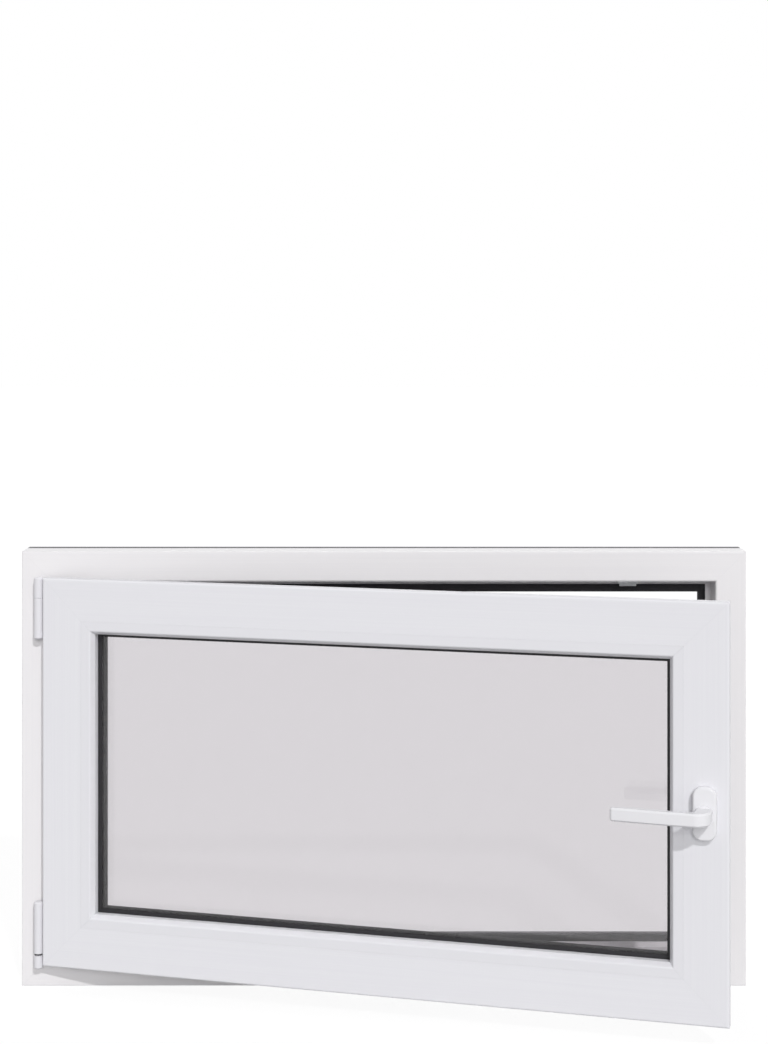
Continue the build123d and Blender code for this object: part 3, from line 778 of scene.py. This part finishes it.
# %% [markdown]
# The floor has two looks as well. For light that bounces it is matt grey paper. Seen directly
# it glows almost white and adds a trace of what falls on it, which keeps a faint shadow of the
# window. It lies a hair under the sill, so that the two faces don't meet.

# %% Floor
floor_reach = 30.0
floor_drop = 0.1 * MM
bounce_grey = 0.5
shadow_grey = 0.12
floor_glow = 0.91
west, east = -floor_reach, floor_reach
floor_corners = [(west, west, 0), (east, west, 0), (east, east, 0), (west, east, 0)]
floor_mesh = bpy.data.meshes.new("studio_floor")
floor_mesh.from_pydata(floor_corners, [], [(0, 1, 2, 3)])
floor_mesh.transform(Matrix.Translation((0, 0, -floor_drop)))
floor = bpy.data.objects.new("studio_floor", floor_mesh)
bpy.context.scene.collection.objects.link(floor)
paper = bpy.data.materials.new("white_paper_floor")
paper.use_nodes = True
tree = paper.node_tree
tree.nodes.clear()
matt = add_node(tree, "ShaderNodeBsdfDiffuse", inputs={"Color": (bounce_grey,) * 3 + (1,)})
shade = add_node(tree, "ShaderNodeBsdfDiffuse", inputs={"Color": (shadow_grey,) * 3 + (1,)})
glow = add_node(tree, "ShaderNodeEmission", inputs={"Color": (1, 1, 1, 1), "Strength": floor_glow})
bright = add_node(tree, "ShaderNodeAddShader", inputs={0: shade.outputs[0], 1: glow.outputs[0]})
paper_seen = {0: seen_directly(tree), 1: matt.outputs[0], 2: bright.outputs[0]}
shown = add_node(tree, "ShaderNodeMixShader", inputs=paper_seen)
add_node(tree, "ShaderNodeOutputMaterial", inputs={"Surface": shown.outputs[0]})
floor_mesh.materials.append(paper)
print("floor ready, glowing at", floor_glow)

# %% [markdown]
# One lamp stands in front, above and a little to the right, as the crisp shadows under the
# handle and the sash show. A broad one beside the camera fills them, and a third stands behind,
# so that the outdoor side reads too. The broad ones would show as pale discs in the panes, so
# they are kept out of reflections and out of the view through glass. Strengths were set so that
# the whites come out within about five per cent of the photograph's, with no face washed out.


# %% Lamps
def sun(name, towards_light, strength, spread, in_reflections):
    data = bpy.data.lights.new(name, "SUN")
    data.energy = strength
    data.angle = math.radians(spread)
    lamp = bpy.data.objects.new(name, data)
    lamp.rotation_mode = "QUATERNION"
    lamp.rotation_quaternion = Vector(towards_light).to_track_quat("Z", "Y")
    lamp.visible_transmission = False
    lamp.visible_glossy = in_reflections
    bpy.context.scene.collection.objects.link(lamp)
    return lamp


lamps = (
    sun("key_lamp", (0.22, -0.76, 0.60), strength=1.33, spread=2.0, in_reflections=True),
    sun("front_lamp", (0.10, -1.00, 0.32), strength=0.86, spread=20.0, in_reflections=False),
    sun("back_lamp", (0.05, 1.00, 0.32), strength=1.35, spread=20.0, in_reflections=False),
)
print("lamps:", [lamp.name for lamp in lamps])

# %% [markdown]
# The photograph keeps upright lines upright, so its camera looks level and the picture was
# slid down over the view. The camera stands about 2.7 m in front of the frame, 0.9 m up. Sliding
# the picture as far as the photograph does would leave other views empty, so the slide is
# smaller here and the window stands lower in the picture, with its perspective unchanged.

# %% Camera
picture_long_side = 1044
focal_pixels = 1978.6
slide_pixels = 188.5
camera_back = 2.763
camera_height = 0.901
sensor = 36
camera_data = bpy.data.cameras.new("camera")
camera_data.sensor_width = sensor
camera_data.lens = sensor * focal_pixels / picture_long_side
camera_data.shift_y = -slide_pixels / picture_long_side
camera_data.clip_start = 0.05
camera_data.clip_end = 200
camera = bpy.data.objects.new("camera", camera_data)
camera.location = (0, -camera_back, camera_height)
camera.rotation_euler = (math.radians(90), 0, 0)
bpy.context.scene.collection.objects.link(camera)
bpy.context.scene.camera = camera
bpy.context.scene.view_settings.view_transform = "Standard"
print("lens", round(camera_data.lens, 2), "mm, slide", round(camera_data.shift_y, 4))
